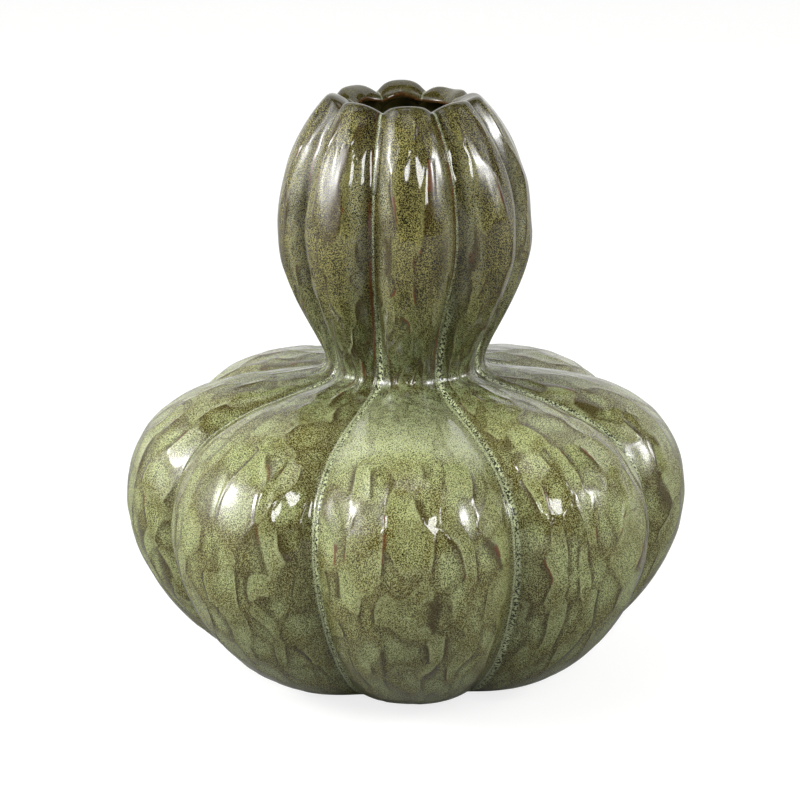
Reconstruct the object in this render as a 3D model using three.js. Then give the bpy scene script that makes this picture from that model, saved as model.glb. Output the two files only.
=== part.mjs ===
// A pumpkin vase in glazed stoneware. A squat ribbed belly narrows to a waist, opens again into an upright pod
// and rolls inwards at the top into a scalloped lip. All of that is one hollow slip casting, whose lobes run
// unbroken from foot to lip, and four felt pads under its foot ring keep it off the table.
// Millimetres, +Z up. The origin is under the middle of the vase, on the surface that the pads stand on.

import * as THREE from 'three';

// The outer profile, measured on the middle of a lobe. Heights are above the foot ring.
const footRadius = 49.5;
const bellyRadius = 127;
const bellyHeight = 80;
const waistRadius = 35.5;
const waistHeight = 141.5;
const podRadius = 57.5;
const podHeight = 203.5;
const crestRadius = 33;
const crestHeight = 263.5;
const mouthRadius = 22.5;
const lipFall = 6;

// How far the profile keeps its course on leaving each station, before it bends towards the next one.
const footFlare = 41;
const bellyTuck = 34;
const bellyRise = 67;
const waistTuck = 9;
const waistRise = 10;
const podTuck = 27;
const podRise = 34;
const crestRun = 5;
const lipRoll = 8.5;

// The slope at which the pod's wall arrives at the crest, in degrees above the horizontal.
const crestSlope = 41;

// The lobes, and how deep the furrows between them are pressed in at each level.
const lobeCount = 8;
const haunchFurrow = 13;
const bellyFurrow = 16.5;
const shoulderFurrow = 8.7;
const waistFurrow = 2.5;
const podLowFurrow = 10.4;
const podFurrow = 11;
const podHighFurrow = 7.2;
const crestFurrow = 6.2;
const mouthNotch = 2.7;

// How square-shouldered a lobe is across its width: 2 is a plain parabola, more is flatter with a sharper furrow.
const bodySquareness = 2.5;
const podSquareness = 2.9;

// The lobes lean a little round the axis as they climb, in degrees, and aren't plumb over each other.
const footLean = 3.5;
const bellyLean = 1.8;
const waistLean = 0.5;
const podLean = 5.7;
const crestLean = 2.7;

// The casting's wall, and the ring that it stands on, left bare where the glaze was wiped off.
const wall = 5;
const footLand = 9;
const footRecess = 3;
const recessDraft = 1;

// Die-cut felt pads, stuck to the foot ring. The margin keeps them back from both of its edges.
const padCount = 4;
const padThickness = 1.5;
const padMargin = 0.5;

// How finely the forms are faceted.
const facetsPerLobe = 10;
const padFacets = 24;

const glazeColour = 0x7f8058;
const feltColour = 0x4b433b;

const degrees = THREE.MathUtils.degToRad;
const at = (radius, height) => new THREE.Vector2(radius, height);

// The meridian on the middle of a lobe, as curves end to end. Its parameter s grows by one on each of them:
// 0 at the foot's edge, 1 on the belly, 2 in the waist, 3 on the pod, 4 on the crest and 5 at the mouth.
const crestArrival = at(Math.cos(degrees(crestSlope)), -Math.sin(degrees(crestSlope))).multiplyScalar(crestRun);
const meridian = [
  new THREE.CubicBezierCurve(
    at(footRadius, 0),
    at(footRadius + footFlare, 0),
    at(bellyRadius, bellyHeight - bellyTuck),
    at(bellyRadius, bellyHeight),
  ),
  new THREE.CubicBezierCurve(
    at(bellyRadius, bellyHeight),
    at(bellyRadius, bellyHeight + bellyRise),
    at(waistRadius, waistHeight - waistTuck),
    at(waistRadius, waistHeight),
  ),
  new THREE.CubicBezierCurve(
    at(waistRadius, waistHeight),
    at(waistRadius, waistHeight + waistRise),
    at(podRadius, podHeight - podTuck),
    at(podRadius, podHeight),
  ),
  new THREE.CubicBezierCurve(
    at(podRadius, podHeight),
    at(podRadius, podHeight + podRise),
    at(crestRadius, crestHeight).add(crestArrival),
    at(crestRadius, crestHeight),
  ),
  new THREE.QuadraticBezierCurve(
    at(crestRadius, crestHeight),
    at(crestRadius - lipRoll, crestHeight - lipFall / 5),
    at(mouthRadius, crestHeight - lipFall),
  ),
];
const crestAt = meridian.length - 1;
const mouthAt = meridian.length;

// A value that passes smoothly through the ones given at stations along s.
function track(stations, values) {
  const curve = new THREE.CubicInterpolant(stations, values, 1);
  return (s) => curve.evaluate(s)[0];
}

const furrowDepth = track(
  [0, 0.5, 1, 1.5, 2, 2.5, 3, 3.5, crestAt],
  [0, haunchFurrow, bellyFurrow, shoulderFurrow, waistFurrow, podLowFurrow, podFurrow, podHighFurrow, crestFurrow],
);
const squareness = track([0, 2, 3, crestAt], [bodySquareness, bodySquareness, podSquareness, podSquareness]);
const lean = track([0, 1, 2, 3, crestAt], [footLean, bellyLean, waistLean, podLean, crestLean]);

function meridianPoint(s) {
  const stretch = Math.min(Math.floor(s), meridian.length - 1);
  return meridian[stretch].getPoint(s - stretch);
}

// Where the bottom of a furrow lies, from the lobe's middle at the same s: square to the profile as far as the
// crest, and from there turning to a plain drop at the mouth's edge.
function furrowShift(s) {
  if (s > crestAt) {
    return furrowShift(crestAt).lerp(at(0, -mouthNotch), s - crestAt);
  }
  const stretch = Math.min(Math.floor(s), crestAt - 1);
  const course = meridian[stretch].getTangent(s - stretch);
  return at(-course.y, course.x).multiplyScalar(furrowDepth(s));
}

// How much of the furrow's depth is reached, from 0 in the middle of a lobe to 1 at its edge. On the lip the
// furrow opens out into a soft wave.
function furrowShare(s, azimuth) {
  const lobeAngle = 2 * Math.PI / lobeCount;
  const across = 2 * Math.abs(azimuth / lobeAngle - Math.round(azimuth / lobeAngle));
  const pressed = across ** squareness(s);
  const wave = (1 - Math.cos(Math.PI * across)) / 2;
  return THREE.MathUtils.lerp(pressed, wave, Math.max(0, s - crestAt));
}

// The outer skin, as a point for each s and each azimuth.
function skin(s, azimuth) {
  const section = meridianPoint(s).addScaledVector(furrowShift(s), furrowShare(s, azimuth));
  const bearing = azimuth + degrees(lean(Math.min(s, crestAt)));
  return new THREE.Vector3(section.x * Math.sin(bearing), -section.x * Math.cos(bearing), section.y);
}

function skinNormal(s, azimuth) {
  const stepAlong = 0.02;
  const stepAround = degrees(1.5);
  const along = skin(Math.min(s + stepAlong, mouthAt), azimuth).sub(skin(Math.max(s - stepAlong, 0), azimuth));
  const around = skin(s, azimuth + stepAround).sub(skin(s, azimuth - stepAround));
  return around.cross(along).normalize();
}

// Slip builds up evenly on the mould, so the inside is the skin set in by the wall, with a level floor.
const floorHeight = footRecess + wall;

function inside(s, azimuth) {
  const point = skin(s, azimuth).addScaledVector(skinNormal(s, azimuth), -wall);
  point.z = Math.max(point.z, floorHeight);
  return point;
}

// Evenly spaced values from one number to another, both ends included.
function steps(from, to, count) {
  return Array.from({ length: count + 1 }, (_, i) => THREE.MathUtils.lerp(from, to, i / count));
}

function ring(radius, height) {
  return (azimuth) => new THREE.Vector3(radius * Math.sin(azimuth), -radius * Math.cos(azimuth), height);
}

// The rows of the casting, in one closed round from the middle of its underside, out and up over the skin, over
// the lip, and down the inside to the middle of the floor. Inside, the crest's fold is bridged by one row.
function castingRows() {
  const recessRadius = footRadius - footLand;
  const outerSteps = [...steps(0, 2, 22), ...steps(2, crestAt, 16).slice(1), ...steps(crestAt, mouthAt, 4).slice(1)];
  const lipMiddle = (crestAt + mouthAt) / 2;
  const innerSteps = [mouthAt, lipMiddle, ...steps(crestAt - 0.2, 2, 6), ...steps(2, 0, 10).slice(1)];
  return [
    ring(0, footRecess),
    ring(recessRadius - recessDraft, footRecess),
    ring(recessRadius, 0),
    ...outerSteps.map((s) => (azimuth) => skin(s, azimuth)),
    ...innerSteps.map((s) => (azimuth) => inside(s, azimuth)),
    ring(0, floorHeight),
  ];
}

// A lathe turning of the rows, whose vertices are then pressed to the lobed form, column by column.
function castingGeometry() {
  const rows = castingRows();
  const columns = lobeCount * facetsPerLobe;
  const profile = rows.map((row) => at(row(0).setZ(0).length(), row(0).z));
  const geometry = new THREE.LatheGeometry(profile, columns);
  const vertices = geometry.attributes.position;
  for (let i = 0; i < vertices.count; i++) {
    const column = Math.floor(i / rows.length) % columns;
    const point = rows[i % rows.length](2 * Math.PI * column / columns);
    vertices.setXYZ(i, point.x, point.y, point.z);
  }
  geometry.computeVertexNormals();
  return geometry;
}

function named(name, geometry, finish) {
  const mesh = new THREE.Mesh(geometry, new THREE.MeshStandardMaterial(finish));
  mesh.name = name;
  return mesh;
}

const vase = new THREE.Group();

const body = named('vase_body', castingGeometry(), { color: glazeColour, roughness: 0.12, metalness: 0 });
body.position.z = padThickness;
vase.add(body);

// The pads sit on the middle of the foot ring, evenly round it.
const padRadius = footLand / 2 - padMargin;
const padCircle = footRadius - footLand / 2;
for (let i = 0; i < padCount; i++) {
  const disc = new THREE.CylinderGeometry(padRadius, padRadius, padThickness, padFacets).rotateX(Math.PI / 2);
  const pad = named(`felt_pad_${i + 1}`, disc, { color: feltColour, roughness: 0.95, metalness: 0 });
  const bearing = 2 * Math.PI * (i + 0.5) / padCount;
  pad.position.set(padCircle * Math.sin(bearing), -padCircle * Math.cos(bearing), padThickness / 2);
  vase.add(pad);
}

export default vase;
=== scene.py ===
# %% [markdown]
# # A pumpkin vase in reactive glaze
#
# The vase is one hollow stoneware casting. Eight lobes swell into a squat belly, draw in to a waist, swell again
# into an upright pod and roll inwards at the mouth. Its skin is hammered all over with shallow marks, and a green
# reactive glaze breaks to olive and rust where those marks leave ridges. This lesson builds that skin as one
# surface of two parameters, dresses it with a glaze made of nodes, and lights it as a studio would.
# The measured solid comes first, because every size here has to agree with it.

import bpy
import numpy as np
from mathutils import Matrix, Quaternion, Vector


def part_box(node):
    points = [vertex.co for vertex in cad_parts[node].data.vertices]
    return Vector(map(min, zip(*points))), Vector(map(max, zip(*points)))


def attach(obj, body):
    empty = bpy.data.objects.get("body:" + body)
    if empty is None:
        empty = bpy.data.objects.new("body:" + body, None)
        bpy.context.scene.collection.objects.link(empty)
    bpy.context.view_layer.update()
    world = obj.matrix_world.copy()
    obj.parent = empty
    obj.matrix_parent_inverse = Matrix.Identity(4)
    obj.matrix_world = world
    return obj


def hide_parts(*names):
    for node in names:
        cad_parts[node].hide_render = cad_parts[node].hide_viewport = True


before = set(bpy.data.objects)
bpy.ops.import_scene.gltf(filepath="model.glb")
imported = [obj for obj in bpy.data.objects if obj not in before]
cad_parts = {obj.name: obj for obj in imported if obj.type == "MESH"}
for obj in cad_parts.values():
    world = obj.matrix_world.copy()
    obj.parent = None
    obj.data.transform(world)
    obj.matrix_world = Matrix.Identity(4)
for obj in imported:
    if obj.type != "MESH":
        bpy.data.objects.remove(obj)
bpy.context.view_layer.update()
MM = 0.001
scene = bpy.context.scene

# %% [markdown]
# ## The camera
#
# A product portrait is taken from well back with a long lens, so that the near lobe doesn't bulge, and from a
# little above, so that the mouth opens into an ellipse. The place, the aim and a third of a degree of roll were
# found by laying a wire model of the vase over the picture and moving the camera until the outlines agreed.

# %% Set up the camera
CAMERA_PLACE = (0.0, -1300.1, 500.0)
CAMERA_AIM = (-2.6, 0.0, 124.6)
CAMERA_LENS = 135.0
SENSOR_WIDTH = 36.0
CAMERA_ROLL = np.radians(-0.33)

camera = bpy.data.objects.new("portrait_camera", bpy.data.cameras.new("portrait_camera"))
camera.data.lens = CAMERA_LENS
camera.data.sensor_width = SENSOR_WIDTH
camera.location = Vector(CAMERA_PLACE) * MM
aim = (Vector(CAMERA_AIM) - Vector(CAMERA_PLACE)).to_track_quat("-Z", "Y")
camera.rotation_euler = (aim @ Quaternion((0, 0, 1), CAMERA_ROLL)).to_euler()
scene.collection.objects.link(camera)
scene.camera = camera
print("camera distance, m:", round(camera.location.length, 3))

# %% [markdown]
# ## The profile
#
# A mould maker starts from the profile: the line that the middle of a lobe follows from the foot to the mouth. It
# could be traced point by point, but a chain of Bezier curves is easier to keep fair. Each curve leaves one
# station of the profile and arrives at the next, upright at the belly, the waist and the pod. The parameter s
# grows by one on each curve: 0 at the foot, 1 on the belly, 2 in the waist, 3 on the pod, 4 on the crest of the
# lip and 5 at the mouth. The overall sizes are read from the solid, and the others are in millimetres.

# %% Draw the profile
body_low, body_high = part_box("vase_body")
FELT = body_low.z / MM
FOOT_RADIUS = 49.5
BELLY_RADIUS, BELLY_HEIGHT = body_high.x / MM, 80.0
WAIST_RADIUS, WAIST_HEIGHT = 35.5, 141.5
POD_RADIUS, POD_HEIGHT = 57.5, 203.5
CREST_RADIUS, CREST_HEIGHT = 33.0, body_high.z / MM - FELT + 0.4
MOUTH_RADIUS, LIP_FALL = 22.5, 6.0
CREST_SLOPE = np.radians(41)
FOOT_FLARE, BELLY_TUCK, BELLY_RISE = 41, 34, 67
WAIST_TUCK, WAIST_RISE = 9, 10
POD_TUCK, POD_RISE = 27, 34
CREST_RUN, LIP_ROLL = 5, 8.5
CREST_AT, MOUTH_AT = 4, 5

LIP_BEND = np.array([CREST_RADIUS - LIP_ROLL, CREST_HEIGHT - LIP_FALL / 5])
CREST, MOUTH = np.array([CREST_RADIUS, CREST_HEIGHT]), np.array([MOUTH_RADIUS, CREST_HEIGHT - LIP_FALL])
STRETCHES = np.array([
    [(FOOT_RADIUS, 0), (FOOT_RADIUS + FOOT_FLARE, 0),
     (BELLY_RADIUS, BELLY_HEIGHT - BELLY_TUCK), (BELLY_RADIUS, BELLY_HEIGHT)],
    [(BELLY_RADIUS, BELLY_HEIGHT), (BELLY_RADIUS, BELLY_HEIGHT + BELLY_RISE),
     (WAIST_RADIUS, WAIST_HEIGHT - WAIST_TUCK), (WAIST_RADIUS, WAIST_HEIGHT)],
    [(WAIST_RADIUS, WAIST_HEIGHT), (WAIST_RADIUS, WAIST_HEIGHT + WAIST_RISE),
     (POD_RADIUS, POD_HEIGHT - POD_TUCK), (POD_RADIUS, POD_HEIGHT)],
    [(POD_RADIUS, POD_HEIGHT), (POD_RADIUS, POD_HEIGHT + POD_RISE),
     CREST + CREST_RUN * np.array([np.cos(CREST_SLOPE), -np.sin(CREST_SLOPE)]), CREST],
    [CREST, CREST + (LIP_BEND - CREST) * 2 / 3, MOUTH + (LIP_BEND - MOUTH) * 2 / 3, MOUTH],
])


def profile(s):
    """Radius and height at s, in mm, and the unit direction of travel there.
    Each stretch is a cubic Bezier curve: its four control points, weighted by the powers of t and 1 - t."""
    stretch = np.clip(np.floor(s).astype(int), 0, len(STRETCHES) - 1)
    t = (s - stretch)[..., None]
    a, b, c, d = (STRETCHES[stretch, i] for i in range(4))
    point = (1 - t) ** 3 * a + 3 * (1 - t) ** 2 * t * b + 3 * (1 - t) * t**2 * c + t**3 * d
    course = (1 - t) ** 2 * (b - a) + 2 * (1 - t) * t * (c - b) + t**2 * (d - c)
    return point, course / np.linalg.norm(course, axis=-1, keepdims=True)


FINE_S = np.linspace(0, MOUTH_AT, 4001)
fine_steps = np.linalg.norm(np.diff(profile(FINE_S)[0], axis=0), axis=1)
FINE_LENGTH = np.concatenate([[0], np.cumsum(fine_steps)])


def length_at(s):
    """How far along the profile s lies, in mm: the running sum of many short chords."""
    return np.interp(s, FINE_S, FINE_LENGTH)


print("profile length, mm:", round(float(FINE_LENGTH[-1]), 1))

# %% [markdown]
# ## Lobes and furrows
#
# The lobes could be eight separate bulges joined together, but the real ones are one skin that is pressed in
# along eight furrows. So the profile's point slides inwards, square to the profile, by the furrow's depth times a
# share that is nothing in the middle of a lobe and everything at its edge. A high power of the distance across
# gives full, square-shouldered lobes with a sharp furrow. In the furrow lies a bead of run glaze, about two
# millimetres wide, which catches the light in one long line.

# %% Press the furrows in
LOBES = 8
LOBE_ANGLE = 2 * np.pi / LOBES
STATIONS = np.arange(0, 4.5, 0.5)
FURROW_DEPTHS = [0, 13, 16.5, 8.7, 2.5, 10.4, 11, 7.2, 6.2]
SQUARENESS = [2.5, 2.5, 2.9, 2.9]
LEANS = [3.5, 1.8, 0.5, 5.7, 2.7]
MOUTH_NOTCH = 2.7
FURROW_RADIUS = 0.7
BEAD_HEIGHT, BEAD_WIDTH = 1.0, 0.95


def track(s, stations, values):
    """A smooth line through values at stations: a cubic Hermite curve whose slopes are the average ones."""
    x, v = np.asarray(stations, float), np.asarray(values, float)
    slope = np.gradient(v, x)
    s = np.clip(s, x[0], x[-1])
    i = np.clip(np.searchsorted(x, s, side="right") - 1, 0, len(x) - 2)
    gap = x[i + 1] - x[i]
    t = (s - x[i]) / gap
    ends = (1 + 2 * t) * (1 - t) ** 2 * v[i] + t**2 * (3 - 2 * t) * v[i + 1]
    return ends + gap * (t * (1 - t) ** 2 * slope[i] - t**2 * (1 - t) * slope[i + 1])


def smooth_step(x, low, high):
    """0 below low, 1 above high, and 3t^2 - 2t^3 between them."""
    t = np.clip((x - low) / (high - low), 0, 1)
    return t * t * (3 - 2 * t)


def across_lobe(azimuth):
    """-1 at a lobe's left furrow, 0 in its middle and 1 at its right furrow."""
    turns = azimuth / LOBE_ANGLE
    return 2 * (turns - np.round(turns))


def furrow_distance(s, azimuth):
    """How far a point lies from the nearest furrow, in mm along the skin's round."""
    radius = profile(np.minimum(s, CREST_AT))[0][..., 0]
    return (1 - np.abs(across_lobe(azimuth))) * radius * LOBE_ANGLE / 2


def waviness(azimuth, s, seed, count=10, around=24, along=9):
    """A gentle random wave between about -1 and 1 that closes round the axis: a sum of cosines, each with a
    whole number of waves around."""
    random = np.random.default_rng(seed)
    total = 0
    for _ in range(count):
        waves, climb = random.integers(-around, around + 1), random.uniform(-along, along)
        total = total + np.cos(waves * azimuth + climb * s + random.uniform(0, 2 * np.pi))
    return total / np.sqrt(count)


def skin(s, azimuth):
    """The skin before it is hammered, in mm: the profile pushed in by depth x share, with the bead added in the
    furrow, then turned about the axis by azimuth plus the lobe's lean at that height."""
    point, course = profile(s)
    inward = np.stack([-course[..., 1], course[..., 0]], axis=-1)
    half_lobe = point[..., 0] * LOBE_ANGLE / 2
    gap = (1 - np.abs(across_lobe(azimuth))) * half_lobe
    across = 1 - (np.hypot(gap, FURROW_RADIUS) - FURROW_RADIUS) / half_lobe
    on_body = np.minimum(s, CREST_AT)
    pressed = across ** track(on_body, [0, 2, 3, CREST_AT], SQUARENESS)
    bead_width = BEAD_WIDTH * (1 + 0.7 * smooth_step(s, 2, 2.6))
    bead = BEAD_HEIGHT * np.exp(-((gap / bead_width) ** 2)) * (1 + 0.25 * waviness(azimuth, s, 5, around=40, along=60))
    bead = bead * smooth_step(s, 0.1, 0.5) * (1 - smooth_step(s, 3.85, 4.2))
    depth = track(on_body, STATIONS, FURROW_DEPTHS)[..., None]
    shift = inward * (depth * pressed[..., None] - bead[..., None])
    over_lip = np.clip(s - CREST_AT, 0, 1)[..., None]
    wave = (1 - np.cos(np.pi * across)) / 2
    crest_course = np.array([-np.cos(CREST_SLOPE), np.sin(CREST_SLOPE)])
    crest_shift = np.array([-crest_course[1], crest_course[0]]) * FURROW_DEPTHS[-1]
    lip_shift = crest_shift * (1 - over_lip) + np.array([0, -MOUTH_NOTCH]) * over_lip
    lip_share = pressed[..., None] * (1 - over_lip) + wave[..., None] * over_lip
    section = point + np.where(over_lip > 0, lip_shift * lip_share, shift)
    bearing = azimuth + np.radians(track(on_body, range(CREST_AT + 1), LEANS))
    return np.stack([section[..., 0] * np.sin(bearing), -section[..., 0] * np.cos(bearing), section[..., 1]], axis=-1)


print("furrow depth on the belly, mm:", FURROW_DEPTHS[2])

# %% [markdown]
# ## Hammer marks
#
# The potter has gone over the soft model with a small paddle, and each blow left a long shallow hollow. Hollows
# overlap, and where two meet a soft ridge stays. A bump texture could fake that, but the outline and the
# reflections in such a glossy glaze would give it away, so the marks are cut into the skin itself. Each blow is a
# bowl, its depth growing with the squared distance from its centre, and the skin follows whichever bowl is the
# nearest. Blows sit in rows like bricks, each thrown off its place by chance. On the belly a lobe takes eleven
# blows across, and on the pod six longer ones.

# %% Hammer the skin
BELLY_MARKS = {"count": 9 * LOBES, "blow_length": 20.0, "softness": 12.0, "seed": 21}
SHOULDER_MARKS = {"count": 5 * LOBES, "blow_length": 17.0, "softness": 12.0, "seed": 23}
POD_MARKS = {"count": 3 * LOBES, "blow_length": 32.0, "softness": 5.0, "seed": 22}
BELLY_DEPTH, POD_DEPTH = 0.75, 1.1


def blows(azimuth, length, count, blow_length, softness, seed):
    """Three numbers for each point. Hollow: 0 on the ridges to 1 in the deepest hollows. Of the nine nearest
    blows, each gives a bowl k x (squared distance in cells) + offset, and the soft least of them is the skin.
    Ridge: the second least bowl minus the least, with a sign that changes from blow to blow, so that it passes
    through nought between two neighbours. Edge: 1 where those two lie side by side, 0 where one is above."""
    random = np.random.default_rng(seed)
    rows = int(FINE_LENGTH[-1] / blow_length) + 4
    jitter = random.uniform(-0.36, 0.36, (rows, count, 2))
    offset = random.uniform(0, 0.16, (rows, count))
    steepness = random.uniform(0.75, 1.3, (rows, count))
    x = azimuth / (2 * np.pi) * count
    y = length / blow_length + 1
    around_cell = []
    for up in (-1, 0, 1):
        j = np.clip(np.floor(y).astype(int) + up, 0, rows - 1)
        brick = 0.5 * (j % 2)
        column = np.floor(x - brick).astype(int)
        for side in (-1, 0, 1):
            i = (column + side) % count
            dx = x - (column + side + 0.5 + brick + jitter[j, i, 0])
            dy = y - (j + 0.5 + jitter[j, i, 1])
            bowl = steepness[j, i] * (dx**2 + dy**2) + offset[j, i]
            around_cell.append([bowl, dx, dy, 1 - 2.0 * (i % 2)])
    bowl, dx, dy, sign = np.stack([np.stack(np.broadcast_arrays(*each)) for each in around_cell], axis=1)
    nearest = np.argsort(bowl, axis=0)[:2]
    least, apart_x, apart_y, sign = (np.take_along_axis(each, nearest, axis=0) for each in (bowl, dx, dy, sign))
    soft_least = -np.log(np.exp(-softness * bowl).sum(axis=0)) / softness
    edge = smooth_step(abs(apart_x[0] - apart_x[1]) - abs(apart_y[0] - apart_y[1]), -0.2, 0.5)
    return np.clip(1 - soft_least / 0.36, 0, 1), sign[0] * (least[1] - least[0]), edge


def hammering(s, azimuth):
    """Hollow, ridge and edge as above, and how deep the skin is sunk in mm. The belly's marks give way to the
    pod's in the waist, and both fade towards the furrows, the foot and the lip. The hollow given back is also
    raised on the top of the lobe that faces the camera, where the glaze paints a pale sheen."""
    length = length_at(s)
    bent = azimuth + 0.035 * waviness(azimuth, s, 11, around=16, along=5)
    bent = bent + 0.018 * waviness(azimuth, s, 14, around=60, along=22)
    sagged = length + 4.0 * waviness(azimuth, s, 12, around=24, along=5)
    sagged = sagged + 2.2 * waviness(azimuth, s, 15, around=60, along=22)
    to_shoulder, to_pod = smooth_step(s, 1.3, 1.42), smooth_step(s, 2.72, 3.02)
    belly, shoulder, pod = (blows(bent, sagged, **marks) for marks in (BELLY_MARKS, SHOULDER_MARKS, POD_MARKS))
    shares = (1 - to_shoulder, to_shoulder * (1 - to_pod), to_pod)
    hollow, edge = (sum(share * zone[k] for share, zone in zip(shares, (belly, shoulder, pod))) for k in (0, 2))
    ridge = np.where(to_shoulder < 0.5, belly[1], np.where(to_pod < 0.5, shoulder[1], pod[1]))
    strength = np.clip(0.8 + 0.35 * waviness(azimuth, s, 13, around=10, along=4), 0.35, 1.25)
    # the top of the lobe that faces the camera: its marks are made fainter, and its colour gets a painted sheen
    front_top_sheen = (np.round(azimuth / LOBE_ANGLE) % LOBES == 0) * smooth_step(s, 1.2, 1.45) * (1 - smooth_step(s, 1.75, 2))
    strength = strength * (1 - 0.7 * front_top_sheen)
    reach = smooth_step(furrow_distance(s, azimuth), 1.5, 9) * smooth_step(s, 0.05, 0.4)
    reach = reach * (1 - smooth_step(s, 3.8, 4)) * (1 - 0.75 * np.exp(-(((s - 1.85) / 0.16) ** 2)))
    depth = (BELLY_DEPTH * (1 - to_pod) + POD_DEPTH * to_pod) * strength * reach * hollow
    # painted sheen: the hollow is raised past full on the front lobe's top, which the glaze turns pale
    pooled_and_sheen = np.maximum(hollow, 1.3 * front_top_sheen)
    return pooled_and_sheen, ridge, np.maximum(edge, 0.35) * np.clip(strength / 0.7, 0, 1), depth


# %% [markdown]
# ## Lip, inside and foot
#
# Slip builds up evenly in a mould, so the inside follows the outside a wall's thickness in, and ends in a level
# floor. The crest of the lip and the mouth's edge are sharp in the measured solid, but glaze rounds them off. They
# could be bevelled, and here the surface is instead averaged over a millimetre or so of its own length, which
# rounds every corner in its way. Underneath, a shallow recess leaves a ring to stand on, wiped free of glaze.

# %% Lay out the rows of the casting
WALL = 5.0
FOOT_LAND, FOOT_RECESS, RECESS_DRAFT = 9.0, 3.0, 1.0
FLOOR_HEIGHT = FOOT_RECESS + WALL
CORNER_SPAN = 2.4
GLAZE_SINK = 0.12
OUTER_ROWS, LIP_ROWS, INNER_ROWS = 160, 14, 22
COLUMNS_PER_LOBE = 60
COLUMN_CROWDING = 0.33


def rounded_skin(s, azimuth):
    """The skin averaged over a short span of its length, which rounds the crest, and sunk by the hammering along
    its normal, which is the cross product of the ways round and up."""
    total = 0
    for nudge, weight in ((-1, 1), (-0.5, 2), (0, 2), (0.5, 2), (1, 1)):
        there = np.interp(length_at(s) + nudge * CORNER_SPAN, FINE_LENGTH, FINE_S)
        total = total + weight / 8 * skin(there, azimuth)
    return total


def normals(points):
    """Unit normals of a closed round of rows: the step round crossed with the step up."""
    around = np.roll(points, -1, axis=1) - np.roll(points, 1, axis=1)
    along = np.gradient(points, axis=0)
    normal = np.cross(around, along)
    return normal / np.linalg.norm(normal, axis=-1, keepdims=True)


def crowded(length, centres, width, gain):
    """Row places from 0 to the whole length, closer together near the centres: equal steps of the running sum
    of a density that is 1 elsewhere and rises to 1 + gain there."""
    fine = np.linspace(0, FINE_LENGTH[-1], 6001)
    density = 1 + sum(gain * np.exp(-(((fine - c) / width) ** 2)) for c in centres)
    running = np.cumsum(density)
    running = (running - running[0]) / (running[-1] - running[0])
    return np.interp(np.linspace(0, 1, length), running, fine)


crest_length, mouth_length = float(length_at(CREST_AT)), float(FINE_LENGTH[-1])
row_lengths = crowded(OUTER_ROWS + LIP_ROWS, [crest_length], 5.0, 2.2)
row_s = np.interp(row_lengths, FINE_LENGTH, FINE_S)[:, None]
x = np.linspace(-1, 1, COLUMNS_PER_LOBE, endpoint=False)
column_t = x * (1 + COLUMN_CROWDING) - COLUMN_CROWDING * x**3
lobe_middles = np.arange(LOBES)[:, None] * LOBE_ANGLE
azimuths = (lobe_middles + column_t[None, :] * LOBE_ANGLE / 2).reshape(1, -1)
print("columns:", azimuths.size, "outer rows:", row_s.size)

# %% Shape the outside
plain = rounded_skin(row_s, azimuths)
hollow, ridge, edge, mark_depth = hammering(row_s, azimuths)
PETAL_DROPS = np.array([0.4, 0.3, 1.6, 2.8, 0.0, 0.7, 0.2, 0.2])
lobe_number = np.round(azimuths / LOBE_ANGLE).astype(int) % LOBES
petal = PETAL_DROPS[lobe_number] * np.cos(across_lobe(azimuths) * np.pi / 2) ** 2 * smooth_step(row_s, 3.5, 4)
outside = plain - normals(plain) * (mark_depth + GLAZE_SINK)[..., None]
outside[..., 2] = np.maximum(outside[..., 2], 0) - petal
print("deepest mark, mm:", round(float(mark_depth.max()), 2))

# %% Shape the inside and the underside
INNER_S = np.array([5, 4.5, 3.8, 3.4, 3, 2.6, 2.3, 2.1, 2, 1.9, 1.75, 1.5, 1.25, 1, 0.8, 0.6, 0.45, 0.3, 0.15, 0.0])


def inner_wall():
    """The plain skin moved in by the wall along its normal, no lower than the floor. It is worked out at a few
    stations, and rows between them follow a smooth line from station to station."""
    close = 0.02
    below, above = np.clip(INNER_S - close, 0, MOUTH_AT)[:, None], np.clip(INNER_S + close, 0, MOUTH_AT)[:, None]
    here = skin(INNER_S[:, None], azimuths)
    up = skin(above, azimuths) - skin(below, azimuths)
    around = np.roll(here, -1, axis=1) - np.roll(here, 1, axis=1)
    normal = np.cross(around, up)
    stations = here - WALL * normal / np.linalg.norm(normal, axis=-1, keepdims=True)
    stations[..., 2] = np.maximum(stations[..., 2], FLOOR_HEIGHT)
    run = np.concatenate([[0], np.cumsum(np.linalg.norm(np.diff(stations, axis=0), axis=-1).mean(axis=1))])
    places = np.linspace(0, run[-1], INNER_ROWS)
    i = np.clip(np.searchsorted(run, places, side="right") - 1, 0, len(run) - 2)
    t = ((places - run[i]) / (run[i + 1] - run[i]))[:, None, None]
    slope = np.gradient(stations, run, axis=0)
    gap = (run[i + 1] - run[i])[:, None, None]
    ends = (1 + 2 * t) * (1 - t) ** 2 * stations[i] + t**2 * (3 - 2 * t) * stations[i + 1]
    wall = ends + gap * (t * (1 - t) ** 2 * slope[i] - t**2 * (1 - t) * slope[i + 1])
    wall[..., 2] = np.maximum(wall[..., 2], FLOOR_HEIGHT)
    return wall


def rings(places):
    """Plain circles round the axis, one for each radius and height given."""
    r, z = (np.array(places, float)[:, i][:, None] for i in (0, 1))
    return np.stack([r * np.sin(azimuths), -r * np.cos(azimuths), z + 0 * azimuths], axis=-1)


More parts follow.
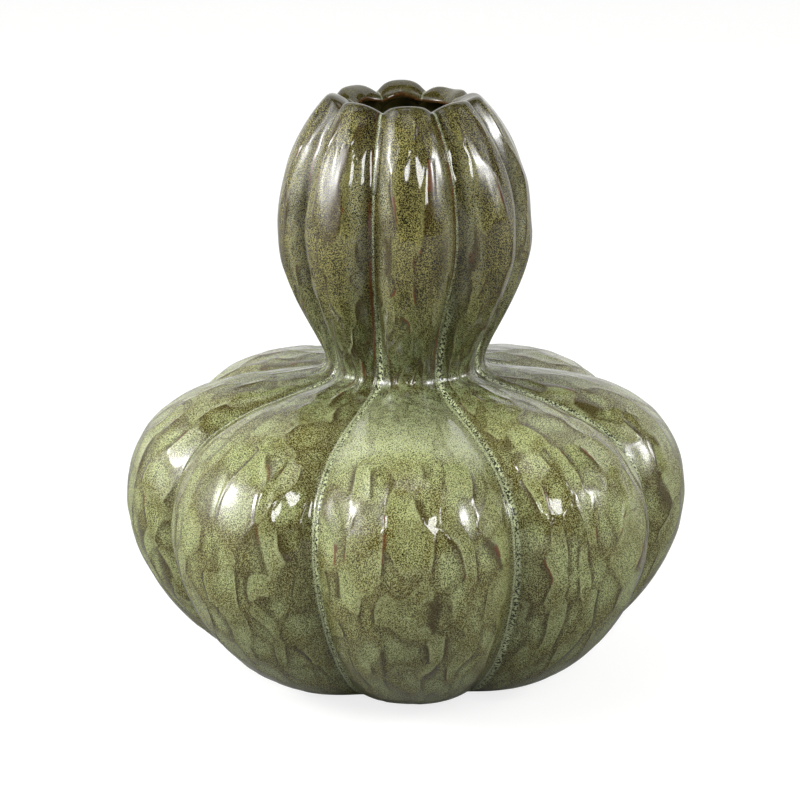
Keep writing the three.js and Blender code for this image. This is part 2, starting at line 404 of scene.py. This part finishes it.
land_inside = FOOT_RADIUS - FOOT_LAND
underside = rings([
    (land_inside / 2, FOOT_RECESS),
    (land_inside - RECESS_DRAFT - 0.6, FOOT_RECESS),
    (land_inside - RECESS_DRAFT, FOOT_RECESS - 0.5),
    (land_inside - 0.2, 0.6),
    (land_inside + 0.5, 0.0),
    (land_inside + 0.5 * FOOT_LAND, 0.0),
    (FOOT_RADIUS - 1.0, 0.0),
])
inside = inner_wall()
middle_of_floor = rings([(FOOT_RADIUS * 0.7, FLOOR_HEIGHT), (FOOT_RADIUS * 0.3, FLOOR_HEIGHT)])
print("rows inside:", len(inside), "and under:", len(underside))

# %% [markdown]
# ## One closed mesh
#
# The rows run in one round: from the middle of the underside, out and up over the skin, over the lip and down the
# inside to the middle of the floor. Two single points close the ends. Alongside go a few numbers for each point,
# which the glaze will read: how hollow it is, how far the nearest furrow is and on which side, how far the crest
# is, and whether the point lies inside. On the top of the lobe that faces the camera the hollow is raised
# further, and the glaze paints a pale sheen there.

# %% Sew the rows into a mesh


def sew(name, grid, low_pole, high_pole):
    """A closed mesh from rows of points that go round the axis, with a fan of triangles to a pole at each end.
    Corner order is round first and then up, so that faces point out."""
    rows, columns = grid.shape[:2]
    points = np.concatenate([grid.reshape(-1, 3), [low_pole, high_pole]]) * MM
    index = np.arange(rows * columns).reshape(rows, columns)
    beside = np.roll(index, -1, axis=1)
    quads = np.stack([index[:-1], beside[:-1], beside[1:], index[1:]], axis=-1).reshape(-1, 4)
    low, high = np.full(columns, rows * columns), np.full(columns, rows * columns + 1)
    fans = np.concatenate([np.stack([low, beside[0], index[0]], axis=-1), np.stack([high, index[-1], beside[-1]], axis=-1)])
    mesh = bpy.data.meshes.new(name)
    mesh.from_pydata(points.tolist(), [], quads.tolist() + fans.tolist())
    mesh.shade_smooth()
    piece = bpy.data.objects.new(name, mesh)
    scene.collection.objects.link(piece)
    return piece


def store(piece, name, values):
    """Keeps one number for each point of the mesh under a name that a material can read."""
    attribute = piece.data.attributes.new(name, "FLOAT", "POINT")
    attribute.data.foreach_set("value", np.asarray(values, np.float32).ravel())


rows = np.concatenate([underside, outside, inside, middle_of_floor])
rows[..., 2] += FELT
vase = sew("glazed_casting", rows, (0, 0, FOOT_RECESS + FELT), (0, 0, FLOOR_HEIGHT + FELT))
under, over, within = len(underside), len(outside), len(inside) + len(middle_of_floor)


def full(outer, below, above):
    """Spreads numbers given on the outside over the whole round, with one value below it and one within."""
    outer = outer + np.zeros((over, azimuths.size))
    edges = np.full((under, azimuths.size), float(below)), np.full((within, azimuths.size), float(above))
    return np.concatenate([np.concatenate([edges[0], outer, edges[1]]).ravel(), [below, above]])


# the hollow stored here also carries the painted sheen on the top of the lobe that faces the camera
store(vase, "hollow", full(hollow, 0.5, 0.5))
store(vase, "ridge", full(ridge, 1, 1))
store(vase, "edge", full(edge, 0, 0))
store(vase, "furrow", full(np.minimum(furrow_distance(row_s, azimuths), 12), 12, 12))
store(vase, "side", full(-np.sin(np.pi * across_lobe(azimuths)) + 0 * row_s, 0, 0))
store(vase, "crest", full(np.clip(row_lengths[:, None] - crest_length, -12, 12), -12, 12))
store(vase, "within", full(0, 0, 1))
print("triangles:", sum(len(p.vertices) - 2 for p in vase.data.polygons))

# %% [markdown]
# ## A node at a time
#
# A material is a small machine of nodes. One function adds a node, sets what it is set to, and links or fills its
# sockets. Colours are written as a painter would note them, in sRGB hex, and another function turns them into the
# linear numbers that light adds up in.

# %% Helpers for materials
MIX_A, MIX_B, MIX_OUT = 6, 7, 2


def colour(code):
    """Linear red, green, blue and alpha of an sRGB hex code."""
    srgb = np.array([int(code[i:i + 2], 16) for i in (0, 2, 4)]) / 255
    linear = np.where(srgb <= 0.04045, srgb / 12.92, ((srgb + 0.055) / 1.055) ** 2.4)
    return (*linear.tolist(), 1.0)


def node(tree, kind, sockets=None, out=0, **settings):
    """Adds a node, applies its settings, and fills its sockets: another node's output is linked, a value is set.
    Gives back the output that is asked for, so that one call can stand inside another."""
    made = tree.nodes.new(kind)
    for name, value in settings.items():
        setattr(made, name, value)
    for key, value in (sockets or {}).items():
        if isinstance(value, bpy.types.NodeSocket):
            tree.links.new(value, made.inputs[key])
        else:
            made.inputs[key].default_value = value
    return made.outputs[out] if made.outputs else made


def empty_material(name):
    """A material with nothing in it but its output."""
    material = bpy.data.materials.new(name)
    material.use_nodes = True
    material.node_tree.nodes.clear()
    return material, material.node_tree


# %% [markdown]
# ## The glaze
#
# A reactive glaze is a glass that has grown crystals. Where it lies thick, in the hollows, it is a milky sage
# green peppered with dark olive grains. Where it thins over a ridge the iron in the clay shows through, olive
# brown at first and rust on the sharpest edges. In the furrows it has run into a pale celadon bead with a crust
# of dark dots beside it. A photograph wrapped round the vase would only fit one side, so the colour is worked
# out from what each point is: hollow, ridge, furrow or lip. The grain is 0.7 mm across, its real size. Light and
# shade are painted in as well: painted shade beside the furrows and on one side of each ridge, a painted sheen
# on the other side of each ridge, on the top of the lobe that faces the camera and on the pod's flanks, and an
# inside painted paler than the little light there would make it.

# %% Mix the glaze
GRAIN = 0.36 * MM
MOTTLE = 26 * MM
PEEL = 8 * MM
CRUST = 1.0 * MM


def glaze():
    """Glossy fired glaze: fine grain and mottling in object space, broken by the stored hollow and furrow."""
    material, tree = empty_material("reactive_green_glaze_on_stoneware")

    def stored(name):
        return node(tree, "ShaderNodeAttribute", out="Fac", attribute_name=name)

    def maths(operation, a, b=0.0):
        return node(tree, "ShaderNodeMath", {0: a, 1: b}, operation=operation)

    def ramp(value, low, high, to_low=0.0, to_high=1.0):
        sockets = {"Value": value, "From Min": low, "From Max": high, "To Min": to_low, "To Max": to_high}
        return node(tree, "ShaderNodeMapRange", sockets, interpolation_type="SMOOTHSTEP")

    def mix(share, a, b):
        return node(tree, "ShaderNodeMix", {0: share, MIX_A: a, MIX_B: b}, out=MIX_OUT, data_type="RGBA")

    def noise(vector, size, detail=2.0, roughness=0.5):
        sockets = {"Vector": vector, "Scale": 1 / size, "Detail": detail, "Roughness": roughness}
        return node(tree, "ShaderNodeTexNoise", sockets)

    place = node(tree, "ShaderNodeTexCoord", out="Object")
    stretched = node(tree, "ShaderNodeMapping", {"Vector": place, "Scale": (1, 1, 0.3)})
    height = node(tree, "ShaderNodeSeparateXYZ", {0: place}, out="Z")
    thick_and_sheen, ridge, edge = stored("hollow"), stored("ridge"), stored("edge")
    furrow, side, crest, within = stored("furrow"), stored("side"), stored("crest"), stored("within")

    mottle = noise(place, MOTTLE, 3, 0.55)
    runs = noise(stretched, 7 * MM, 3, 0.6)
    grain = noise(place, GRAIN, 0.5, 0.5)
    fleck = noise(place, GRAIN * 1.3, 0.5, 0.5)

    pod = ramp(height, 0.135, 0.2)
    # the stored hollow also carries the painted sheen on the front lobe's top into the milky body colour
    pooled_and_sheen = node(tree, "ShaderNodeMix", {0: pod, 2: thick_and_sheen, 3: maths("SUBTRACT", 1.0, thick_and_sheen)}, data_type="FLOAT")
    body = maths("ADD", maths("MULTIPLY", pooled_and_sheen, 0.7), maths("MULTIPLY", mottle, 1.2))
    body = maths("ADD", body, maths("MULTIPLY", runs, 0.8))
    body = ramp(body, 1.0, 1.75)
    deep = mix(pod, colour("5b5119"), colour("1e1703"))
    milk = mix(pod, colour("848a5e"), colour("3d3d1d"))
    ground = mix(body, deep, milk)
    # painted sheen: the stored hollow passes 1 only on the top of the lobe that faces the camera, and there it is
    # painted pale
    painted_front_sheen = ramp(thick_and_sheen, 1.0, 1.3)
    ground = mix(maths("MULTIPLY", painted_front_sheen, 0.8), ground, colour("bfc7a4"))
    # painted shade: the glaze is darkened towards each furrow, more on the pod
    furrow_shade = maths("MULTIPLY", ramp(furrow, 11.0, 2.0), ramp(pod, 0.0, 1.0, 0.5, 0.6))
    ground = mix(furrow_shade, ground, mix(pod, colour("3a3210"), colour("1e1804")))
    # milky glaze and painted sheen: the pod's flanks beside the furrows are painted pale where the soft boxes gleam
    flank_milk_and_sheen = maths("MULTIPLY", ramp(furrow, 2.0, 6.0), ramp(furrow, 12.0, 8.0))
    flank_milk_and_sheen = maths("MULTIPLY", flank_milk_and_sheen, maths("MULTIPLY", ramp(height, 0.165, 0.195), ramp(height, 0.255, 0.235)))
    flank_milk_and_sheen = maths("MULTIPLY", flank_milk_and_sheen, ramp(runs, 0.3, 0.6, 0.3, 0.9))
    ground = mix(flank_milk_and_sheen, ground, colour("a6a88c"))
    near_ridge = maths("ABSOLUTE", ridge)
    clear = maths("MULTIPLY", ramp(furrow, 2.0, 7.0), maths("MULTIPLY", ramp(height, 0.01, 0.04), ramp(crest, -5.0, -11.0)))
    clear = maths("MULTIPLY", clear, edge)
    broken = maths("MULTIPLY", ramp(noise(place, 15 * MM, 2, 0.5), 0.33, 0.48), clear)
    # dark glaze and painted shade on one side of each ridge (sunk), pale glaze and painted light on the other (rolled)
    sunk = maths("MULTIPLY", maths("MULTIPLY", ramp(ridge, -0.15, 0.1), ramp(ridge, 0.8, 0.12)), broken)
    rolled_glaze_and_light = maths("MULTIPLY", maths("MULTIPLY", ramp(ridge, 0.0, -0.15), ramp(ridge, -1.0, -0.2)), broken)
    ground = mix(maths("MULTIPLY", sunk, 0.6), ground, mix(pod, colour("38330c"), colour("1b1603")))
    ground = mix(maths("MULTIPLY", rolled_glaze_and_light, 0.4), ground, mix(pod, colour("acb478"), colour("74764a")))
    collar = maths("MULTIPLY", ramp(height, 0.128, 0.14), ramp(height, 0.185, 0.15))
    ground = mix(maths("MULTIPLY", collar, 0.6), ground, colour("2a2908"))
    bead = ramp(furrow, 0.8, 0.3)
    shade = maths("MULTIPLY", ramp(furrow, 0.7, 1.0), ramp(furrow, 2.4, 1.3))
    ground = mix(maths("MULTIPLY", shade, 0.7), ground, colour("2c2b10"))
    ground = mix(maths("MULTIPLY", bead, 0.85), ground, colour("b4be9c"))
    lip_thin = ramp(crest, -5.0, 3.0)
    ground = mix(maths("MULTIPLY", lip_thin, 0.7), ground, colour("35300e"))
    mouth = ramp(crest, 10.0, 11.5)
    ground = mix(maths("MULTIPLY", mouth, 0.7), ground, colour("4e2614"))
    drip = maths("MULTIPLY", ramp(height, 0.13, 0.14), ramp(height, 0.185, 0.15))
    thread = noise(node(tree, "ShaderNodeMapping", {"Vector": place, "Scale": (1, 1, 0.12)}), 3 * MM, 2, 0.6)
    ground = mix(maths("MULTIPLY", maths("MULTIPLY", ramp(thread, 0.5, 0.42), drip), 0.8), ground, colour("2a2a0c"))
    ground = mix(maths("MULTIPLY", maths("MULTIPLY", ramp(thread, 0.5, 0.6), drip), 0.65), ground, colour("7f9062"))

    calm = maths("MULTIPLY", ramp(height, 0.02, 0.07, 0.9, 1.0), ramp(crest, -7.0, -1.0, 1.0, 0.2))
    # the painted light and shade beside the ridges also steer the pale grain
    paleness = maths("SUBTRACT", maths("ADD", body, maths("MULTIPLY", rolled_glaze_and_light, 0.3)), maths("MULTIPLY", sunk, 0.6))
    dark_share = maths("MULTIPLY", calm, ramp(paleness, 0.0, 1.0, 1.0, 0.95))
    pale_share = maths("MULTIPLY", calm, ramp(paleness, 0.0, 1.0, 0.65, 1.0))
    pale_share = maths("MULTIPLY", pale_share, maths("SUBTRACT", 1.0, maths("MULTIPLY", collar, 0.6)))
    # fewer pale grains in the painted shade by the furrows
    pale_share = maths("MULTIPLY", pale_share, maths("SUBTRACT", 1.0, maths("MULTIPLY", furrow_shade, 0.6)))
    denser = maths("SUBTRACT", grain, maths("MULTIPLY", pod, 0.045))
    dark_grain = maths("MULTIPLY", ramp(denser, 0.54, 0.45), dark_share)
    dark_glass = mix(body, colour("2a2204"), colour("222504"))
    ground = mix(dark_grain, ground, mix(pod, dark_glass, colour("0d0b00")))
    pale_grain = maths("MULTIPLY", ramp(fleck, 0.51, 0.56), pale_share)
    ground = mix(pale_grain, ground, mix(pod, colour("a8ad77"), colour("89824b")))
    line = maths("MULTIPLY", maths("MULTIPLY", ramp(ridge, -0.08, 0.04), ramp(ridge, 0.5, 0.08)), broken)
    ground = mix(maths("MULTIPLY", line, 0.75), ground, colour("382a0e"))
    glint = maths("MULTIPLY", maths("MULTIPLY", ramp(ridge, 0.0, -0.08), ramp(ridge, -0.35, -0.1)), broken)
    ground = mix(maths("MULTIPLY", glint, 0.3), ground, mix(pod, colour("a4ad80"), colour("7d7b4c")))
    streak = maths("MULTIPLY", ramp(near_ridge, 0.11, 0.05), ramp(noise(place, 14 * MM, 1, 0.5), 0.6, 0.64))
    streak = maths("MULTIPLY", streak, ramp(edge, 0.5, 0.9))
    ground = mix(maths("MULTIPLY", maths("MULTIPLY", streak, clear), 0.8), ground, colour("5c2f18"))

    crust_side = maths("MULTIPLY", ramp(side, -0.02, 0.02), ramp(height, 0.19, 0.16))
    crust_band = maths("MULTIPLY", maths("MULTIPLY", ramp(furrow, 0.6, 1.1), ramp(furrow, 3.6, 2.2)), crust_side)
    iron = maths("MULTIPLY", maths("MULTIPLY", ramp(furrow, 0.9, 1.2), ramp(furrow, 2.3, 1.6)), ramp(side, 0.02, -0.02))
    iron = maths("MULTIPLY", iron, maths("MULTIPLY", ramp(height, 0.14, 0.16), ramp(noise(place, 30 * MM, 1), 0.42, 0.55)))
    ground = mix(maths("MULTIPLY", iron, 0.8), ground, colour("5a2a18"))
    dots = ramp(noise(place, CRUST, 2, 0.7), 0.53, 0.47)
    crust = mix(dots, colour("b9c294"), colour("1a1c0a"))
    patchy = ramp(noise(place, 12 * MM, 2, 0.6), 0.35, 0.6, 0.6, 1.0)
    ground = mix(maths("MULTIPLY", crust_band, patchy), ground, crust)
    # the inside's own olive glaze, painted paler to stand in for the light that hardly reaches it
    ground = mix(maths("MULTIPLY", within, 0.8), ground, colour("6a6638"))

    peel = noise(place, PEEL, 1, 0.5)
    ripple = node(tree, "ShaderNodeBump", {"Height": peel, "Distance": 0.08 * MM, "Strength": 1.0})
    sharp = maths("MULTIPLY", ramp(near_ridge, 0.4, 0.0), clear)
    raised = node(tree, "ShaderNodeBump", {"Height": sharp, "Distance": 0.35 * MM, "Normal": ripple})
    grit = node(tree, "ShaderNodeBump", {"Height": maths("MULTIPLY", dots, crust_band), "Distance": 0.12 * MM,
                                         "Strength": 1.0, "Normal": raised})
    shine = ramp(grain, 0.3, 0.7, 0.05, 0.10)
    surface = node(tree, "ShaderNodeBsdfPrincipled", {"Base Color": ground, "Roughness": shine, "IOR": 1.55,
                                                      "Normal": grit})
    node(tree, "ShaderNodeOutputMaterial", {"Surface": surface})
    return material


# %% [markdown]
# ## Bare clay and felt
#
# The foot ring is wiped before the firing, so it shows the clay itself: a dry, buff-brown stoneware with fine
# grog. Four felt discs, die-cut with slightly crushed edges, keep it off the table. They could be four plain
# cylinders, but felt has no clean faces, so each is a little pillow of a disc with a fibrous surface.

# %% Mix the clay and the felt
GROG = 0.9 * MM
FIBRE = 0.35 * MM


def bare_clay():
    """Unglazed fired stoneware: matt, buff-brown, with darker specks of grog."""
    material, tree = empty_material("bare_fired_stoneware")
    place = node(tree, "ShaderNodeTexCoord", out="Object")
    specks = node(tree, "ShaderNodeTexNoise", {"Vector": place, "Scale": 1 / GROG, "Detail": 3.0})
    share = node(tree, "ShaderNodeMapRange", {"Value": specks, "From Min": 0.42, "From Max": 0.6})
    clay = node(tree, "ShaderNodeMix", {0: share, MIX_A: colour("6f5a43"), MIX_B: colour("a08a6c")},
                out=MIX_OUT, data_type="RGBA")
    rough = node(tree, "ShaderNodeBump", {"Height": specks, "Distance": 0.15 * MM})
    surface = node(tree, "ShaderNodeBsdfPrincipled", {"Base Color": clay, "Roughness": 0.85, "Normal": rough})
    node(tree, "ShaderNodeOutputMaterial", {"Surface": surface})
    return material


def wool_felt():
    """Pressed wool felt: dark brown, without shine, with a nap of short fibres."""
    material, tree = empty_material("pressed_wool_felt")
    place = node(tree, "ShaderNodeTexCoord", out="Object")
    fibres = node(tree, "ShaderNodeTexNoise", {"Vector": place, "Scale": 1 / FIBRE, "Detail": 4.0, "Distortion": 2.0})
    share = node(tree, "ShaderNodeMapRange", {"Value": fibres, "From Min": 0.35, "From Max": 0.65})
    wool = node(tree, "ShaderNodeMix", {0: share, MIX_A: colour("3a332b"), MIX_B: colour("6a6055")},
                out=MIX_OUT, data_type="RGBA")
    nap = node(tree, "ShaderNodeBump", {"Height": fibres, "Distance": 0.2 * MM})
    surface = node(tree, "ShaderNodeBsdfPrincipled", {"Base Color": wool, "Roughness": 0.95, "Sheen Weight": 0.3,
                                                      "Normal": nap})
    node(tree, "ShaderNodeOutputMaterial", {"Surface": surface})
    return material


# %% Dress the casting
vase.data.materials.append(glaze())
vase.data.materials.append(bare_clay())
face_count = len(vase.data.polygons)
clay_faces = np.zeros(face_count, int)
clay_faces[:(under + 1) * azimuths.size] = 1
clay_faces[-2 * azimuths.size:-azimuths.size] = 1
vase.data.polygons.foreach_set("material_index", clay_faces)
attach(vase, "root")
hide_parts("vase_body")
print("clay faces:", int(clay_faces.sum()), "of", face_count)

# %% Cut the felt discs
FELT_RINGS, FELT_SIDES = 9, 48


def felt_disc(number, material):
    """A disc inside the box of the solid one: rings of a flattened super-ellipse, whose radius is
    (1 - |height|^4)^(1/4), with a little fuzz that only ever goes inwards."""
    low, high = (np.array(corner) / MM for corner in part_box(f"felt_pad_{number}"))
    middle, half = (low + high) / 2, (high - low) / 2
    turn = np.linspace(0, 2 * np.pi, FELT_SIDES, endpoint=False)[None, :]
    climb = np.linspace(-np.pi / 2, np.pi / 2, FELT_RINGS + 2)[1:-1, None]
    width, rise = np.abs(np.cos(climb)) ** 0.35, np.sign(np.sin(climb)) * np.abs(np.sin(climb)) ** 0.35
    fuzz = 1 - np.random.default_rng(number).uniform(0, 0.02, (FELT_RINGS, FELT_SIDES))
    grid = np.stack([middle[0] + half[0] * width * fuzz * np.cos(turn), middle[1] + half[1] * width * fuzz * np.sin(turn),
                     middle[2] + half[2] * rise + 0 * turn], axis=-1)
    poles = [(middle[0], middle[1], z) for z in (low[2], high[2])]
    disc = sew(f"felt_disc_{number}", grid, *poles)
    disc.data.materials.append(material)
    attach(disc, "root")
    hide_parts(f"felt_pad_{number}")
    return disc


felt = wool_felt()
discs = [felt_disc(number, felt) for number in range(1, 5)]
print("felt discs:", [disc.name for disc in discs])

# %% [markdown]
# ## The studio
#
# Glossy ware is lit by what it reflects. A white sweep behind and below gives the pale edges where the glaze is
# seen at a slant, two large soft boxes give the broad gleams on each lobe, and one small lamp near the camera
# gives the crisp ones. The floor is lit as anything else is, and a share of plain white that only the camera,
# mirrors and glass see keeps it as pale as the background without washing out the shadow under the vase.

# %% Lay the floor
FLOOR_RADIUS = 6.0


def studio_floor():
    """A wide disc under the vase, white to the camera apart from the vase's own shadow."""
    bpy.ops.mesh.primitive_circle_add(vertices=96, radius=FLOOR_RADIUS, fill_type="NGON")
    floor = bpy.context.object
    floor.name = "studio_floor"
    material, tree = empty_material("white_paper_sweep")
    camera_ray = node(tree, "ShaderNodeLightPath", out="Is Camera Ray")
    glossy_ray = node(tree, "ShaderNodeLightPath", out="Is Glossy Ray")
    glass_ray = node(tree, "ShaderNodeLightPath", out="Is Transmission Ray")
    paper = node(tree, "ShaderNodeBsdfDiffuse", {"Color": colour("8a8a88")})
    mirrored = node(tree, "ShaderNodeMath", {0: glossy_ray, 1: glass_ray}, operation="MAXIMUM")
    place = node(tree, "ShaderNodeTexCoord", out="Object")
    away = node(tree, "ShaderNodeVectorMath", {0: place}, out="Value", operation="LENGTH")
    further = node(tree, "ShaderNodeMapRange", {"Value": away, "From Min": 0.3, "From Max": 2.5})
    far_mirrored = node(tree, "ShaderNodeMath", {0: mirrored, 1: further}, operation="MULTIPLY")
    either = node(tree, "ShaderNodeMath", {0: camera_ray, 1: far_mirrored}, operation="MAXIMUM")
    seen = node(tree, "ShaderNodeMath", {0: either, 1: 0.8}, operation="MULTIPLY")
    glow = node(tree, "ShaderNodeEmission", {"Color": (1, 1, 1, 1), "Strength": seen})
    both = node(tree, "ShaderNodeAddShader", {0: paper, 1: glow})
    node(tree, "ShaderNodeOutputMaterial", {"Surface": both})
    floor.data.materials.append(material)
    return floor


floor = studio_floor()

# %% Hang the lamps


def soft_box(name, azimuth, elevation, distance, width, height, core, core_spread, halo, halo_spread):
    """A flat cloth front, aimed at the vase and placed by its bearing from the camera's side, its height above
    the horizon in degrees, and its distance in metres. It is brightest where the flash head stands behind it,
    and fades to its edges. Core and halo each give strength / (1 + (distance from the middle / spread) squared)
    squared, with distances in shares of the front's width or height."""
    bpy.ops.mesh.primitive_plane_add(size=1.0)
    front = bpy.context.object
    front.name = name
    front.scale = (width, height, 1.0)
    a, e = np.radians(azimuth), np.radians(elevation)
    middle = Vector((0, 0, CREST_HEIGHT * MM / 2))
    front.location = middle + distance * Vector((np.sin(a) * np.cos(e), -np.cos(a) * np.cos(e), np.sin(e)))
    front.rotation_euler = (middle - front.location).to_track_quat("Z", "Y").to_euler()
    material, tree = empty_material(name + "_cloth")
    place = node(tree, "ShaderNodeTexCoord", out="Object")
    away = node(tree, "ShaderNodeVectorMath", {0: place}, out="Value", operation="LENGTH")
    level = 0.0
    for strength, spread in ((core, core_spread), (halo, halo_spread)):
        share = node(tree, "ShaderNodeMath", {0: away, 1: spread}, operation="DIVIDE")
        square = node(tree, "ShaderNodeMath", {0: share, 1: share, 2: 1.0}, operation="MULTIPLY_ADD")
        fall = node(tree, "ShaderNodeMath", {0: square, 1: -2.0}, operation="POWER")
        level = node(tree, "ShaderNodeMath", {0: fall, 1: strength, 2: level}, operation="MULTIPLY_ADD")
    facing = node(tree, "ShaderNodeNewGeometry", out="Backfacing")
    lit = node(tree, "ShaderNodeMath", {0: 1.0, 1: facing}, operation="SUBTRACT")
    strength = node(tree, "ShaderNodeMath", {0: level, 1: lit}, operation="MULTIPLY")
    glow = node(tree, "ShaderNodeEmission", {"Color": (1, 1, 1, 1), "Strength": strength})
    node(tree, "ShaderNodeOutputMaterial", {"Surface": glow})
    front.data.materials.append(material)
    front.visible_camera = False
    return front


soft_box("soft_box_left", -72, 30, 1.8, 3.0, 3.0, 28, 0.08, 9.0, 0.27)
soft_box("soft_box_right", 74, 28, 1.8, 3.0, 3.0, 24, 0.08, 2.8, 0.22)
soft_box("pane_left", 15.8, 31, 1.7, 0.19, 0.6, 0, 1, 16, 3)
soft_box("pane_right", 24.2, 30.5, 1.7, 0.19, 0.6, 0, 1, 16, 3)
soft_box("top_light", 0, 78, 1.9, 2.6, 2.6, 2.2, 0.14, 0.6, 0.25)

# %% Light the room
world = bpy.data.worlds.new("white_studio")
scene.world = world
world.use_nodes = True
sky = world.node_tree
sky.nodes.clear()
seen_by_camera = node(sky, "ShaderNodeLightPath", out="Is Camera Ray")
direction = node(sky, "ShaderNodeTexCoord", out="Generated")
depth = node(sky, "ShaderNodeVectorMath", {0: direction, 1: (0.0, 1.0, 0.05)}, out="Value", operation="DOT_PRODUCT")
room = node(sky, "ShaderNodeMapRange", {"Value": depth, "From Min": -0.2, "From Max": 0.5, "To Min": 0.1, "To Max": 1.0})
level = node(sky, "ShaderNodeMix", {0: seen_by_camera, 2: room, 3: 1.0}, data_type="FLOAT")
light = node(sky, "ShaderNodeBackground", {"Color": (1, 1, 1, 1), "Strength": level})
node(sky, "ShaderNodeOutputWorld", {"Surface": light})
scene.view_settings.view_transform = "Standard"
